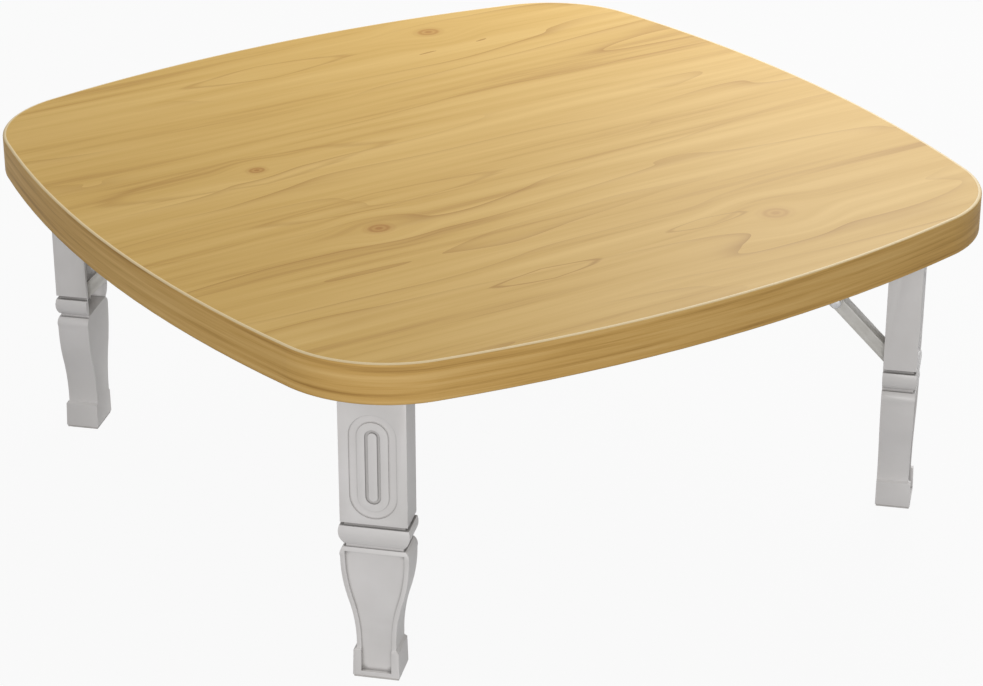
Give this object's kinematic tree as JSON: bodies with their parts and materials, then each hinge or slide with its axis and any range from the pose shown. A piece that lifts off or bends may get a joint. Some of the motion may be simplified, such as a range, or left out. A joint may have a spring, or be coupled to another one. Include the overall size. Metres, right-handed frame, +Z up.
{
  "type": "folding low table",
  "caption": "Square low table with bowed sides and rounded corners, a wood-grain board on moulded corner legs that fold flat on hinge pins and locking two-link stays.",
  "frame": {"origin": "on the floor, under the middle of the board", "axes": "+Z up, X and Y along the board's sides, a leg at each corner on the diagonals"},
  "size_m": [0.6998, 0.6998, 0.287],
  "materials": {
    "wood_laminate": "satin printed pine grain",
    "edge_band": "satin printed pine grain",
    "core_board": "raw fibreboard",
    "backing_sheet": "matte paper backing",
    "leg_plastic": "moulded semi-gloss",
    "foot_rubber": "matte moulded",
    "zinc_steel": "bright zinc plate",
    "stay_steel": "pale grey stove enamel"
  },
  "bodies": {
    "tabletop": {"board_core": "core_board", "top_laminate": "wood_laminate", "bottom_backing": "backing_sheet", "edge_band": "edge_band", "hinge_bracket_front": "zinc_steel", "hinge_pin_front": "zinc_steel", "stay_bracket_front": "zinc_steel", "stay_board_pin_front": "zinc_steel", "bracket_screws_front": "zinc_steel", "hinge_bracket_right": "zinc_steel", "hinge_pin_right": "zinc_steel", "stay_bracket_right": "zinc_steel", "stay_board_pin_right": "zinc_steel", "bracket_screws_right": "zinc_steel", "hinge_bracket_back": "zinc_steel", "hinge_pin_back": "zinc_steel", "stay_bracket_back": "zinc_steel", "stay_board_pin_back": "zinc_steel", "bracket_screws_back": "zinc_steel", "hinge_bracket_left": "zinc_steel", "hinge_pin_left": "zinc_steel", "stay_bracket_left": "zinc_steel", "stay_board_pin_left": "zinc_steel", "bracket_screws_left": "zinc_steel"},
    "leg_front": {"leg_shell_front": "leg_plastic", "foot_pad_front": "foot_rubber", "stay_leg_pin_front": "zinc_steel"},
    "stay_lower_front": {"lower_link_front": "stay_steel"},
    "stay_upper_front": {"upper_link_front": "stay_steel", "middle_rivet_front": "zinc_steel"},
    "leg_right": {"leg_shell_right": "leg_plastic", "foot_pad_right": "foot_rubber", "stay_leg_pin_right": "zinc_steel"},
    "stay_lower_right": {"lower_link_right": "stay_steel"},
    "stay_upper_right": {"upper_link_right": "stay_steel", "middle_rivet_right": "zinc_steel"},
    "leg_back": {"leg_shell_back": "leg_plastic", "foot_pad_back": "foot_rubber", "stay_leg_pin_back": "zinc_steel"},
    "stay_lower_back": {"lower_link_back": "stay_steel"},
    "stay_upper_back": {"upper_link_back": "stay_steel", "middle_rivet_back": "zinc_steel"},
    "leg_left": {"leg_shell_left": "leg_plastic", "foot_pad_left": "foot_rubber", "stay_leg_pin_left": "zinc_steel"},
    "stay_lower_left": {"lower_link_left": "stay_steel"},
    "stay_upper_left": {"upper_link_left": "stay_steel", "middle_rivet_left": "zinc_steel"}
  },
  "joints": [
    {"name": "leg_fold_front", "type": "hinge", "parent": "tabletop", "child": "leg_front", "pos_m": [-0.25668, -0.25668, 0.2385], "axis": [0.7071, -0.7071, 0], "range_deg": [0, 90]},
    {"name": "stay_lower_swing_front", "type": "hinge", "parent": "leg_front", "child": "stay_lower_front", "pos_m": [-0.25951, -0.25951, 0.121], "axis": [0.7071, -0.7071, 0], "range_deg": [0, 44.44]},
    {"name": "stay_upper_swing_front", "type": "hinge", "parent": "tabletop", "child": "stay_upper_front", "pos_m": [-0.17359, -0.17359, 0.245], "axis": [-0.7071, 0.7071, 0], "range_deg": [0, 38.68]},
    {"name": "leg_fold_right", "type": "hinge", "parent": "tabletop", "child": "leg_right", "pos_m": [0.25668, -0.25668, 0.2385], "axis": [0.7071, 0.7071, 0], "range_deg": [0, 90]},
    {"name": "stay_lower_swing_right", "type": "hinge", "parent": "leg_right", "child": "stay_lower_right", "pos_m": [0.25951, -0.25951, 0.121], "axis": [0.7071, 0.7071, 0], "range_deg": [0, 44.44]},
    {"name": "stay_upper_swing_right", "type": "hinge", "parent": "tabletop", "child": "stay_upper_right", "pos_m": [0.17359, -0.17359, 0.245], "axis": [-0.7071, -0.7071, 0], "range_deg": [0, 38.68]},
    {"name": "leg_fold_back", "type": "hinge", "parent": "tabletop", "child": "leg_back", "pos_m": [0.25668, 0.25668, 0.2385], "axis": [-0.7071, 0.7071, 0], "range_deg": [0, 90]},
    {"name": "stay_lower_swing_back", "type": "hinge", "parent": "leg_back", "child": "stay_lower_back", "pos_m": [0.25951, 0.25951, 0.121], "axis": [-0.7071, 0.7071, 0], "range_deg": [0, 44.44]},
    {"name": "stay_upper_swing_back", "type": "hinge", "parent": "tabletop", "child": "stay_upper_back", "pos_m": [0.17359, 0.17359, 0.245], "axis": [0.7071, -0.7071, 0], "range_deg": [0, 38.68]},
    {"name": "leg_fold_left", "type": "hinge", "parent": "tabletop", "child": "leg_left", "pos_m": [-0.25668, 0.25668, 0.2385], "axis": [-0.7071, -0.7071, 0], "range_deg": [0, 90]},
    {"name": "stay_lower_swing_left", "type": "hinge", "parent": "leg_left", "child": "stay_lower_left", "pos_m": [-0.25951, 0.25951, 0.121], "axis": [-0.7071, -0.7071, 0], "range_deg": [0, 44.44]},
    {"name": "stay_upper_swing_left", "type": "hinge", "parent": "tabletop", "child": "stay_upper_left", "pos_m": [-0.17359, 0.17359, 0.245], "axis": [0.7071, 0.7071, 0], "range_deg": [0, 38.68]}
  ],
  "couplings": [
    {"joint": "stay_lower_swing_front", "follows": "leg_fold_front", "ratio": 0.49352},
    {"joint": "stay_upper_swing_front", "follows": "leg_fold_front", "ratio": 0.42957},
    {"joint": "stay_lower_swing_right", "follows": "leg_fold_right", "ratio": 0.49352},
    {"joint": "stay_upper_swing_right", "follows": "leg_fold_right", "ratio": 0.42957},
    {"joint": "stay_lower_swing_back", "follows": "leg_fold_back", "ratio": 0.49352},
    {"joint": "stay_upper_swing_back", "follows": "leg_fold_back", "ratio": 0.42957},
    {"joint": "stay_lower_swing_left", "follows": "leg_fold_left", "ratio": 0.49352},
    {"joint": "stay_upper_swing_left", "follows": "leg_fold_left", "ratio": 0.42957}
  ]
}
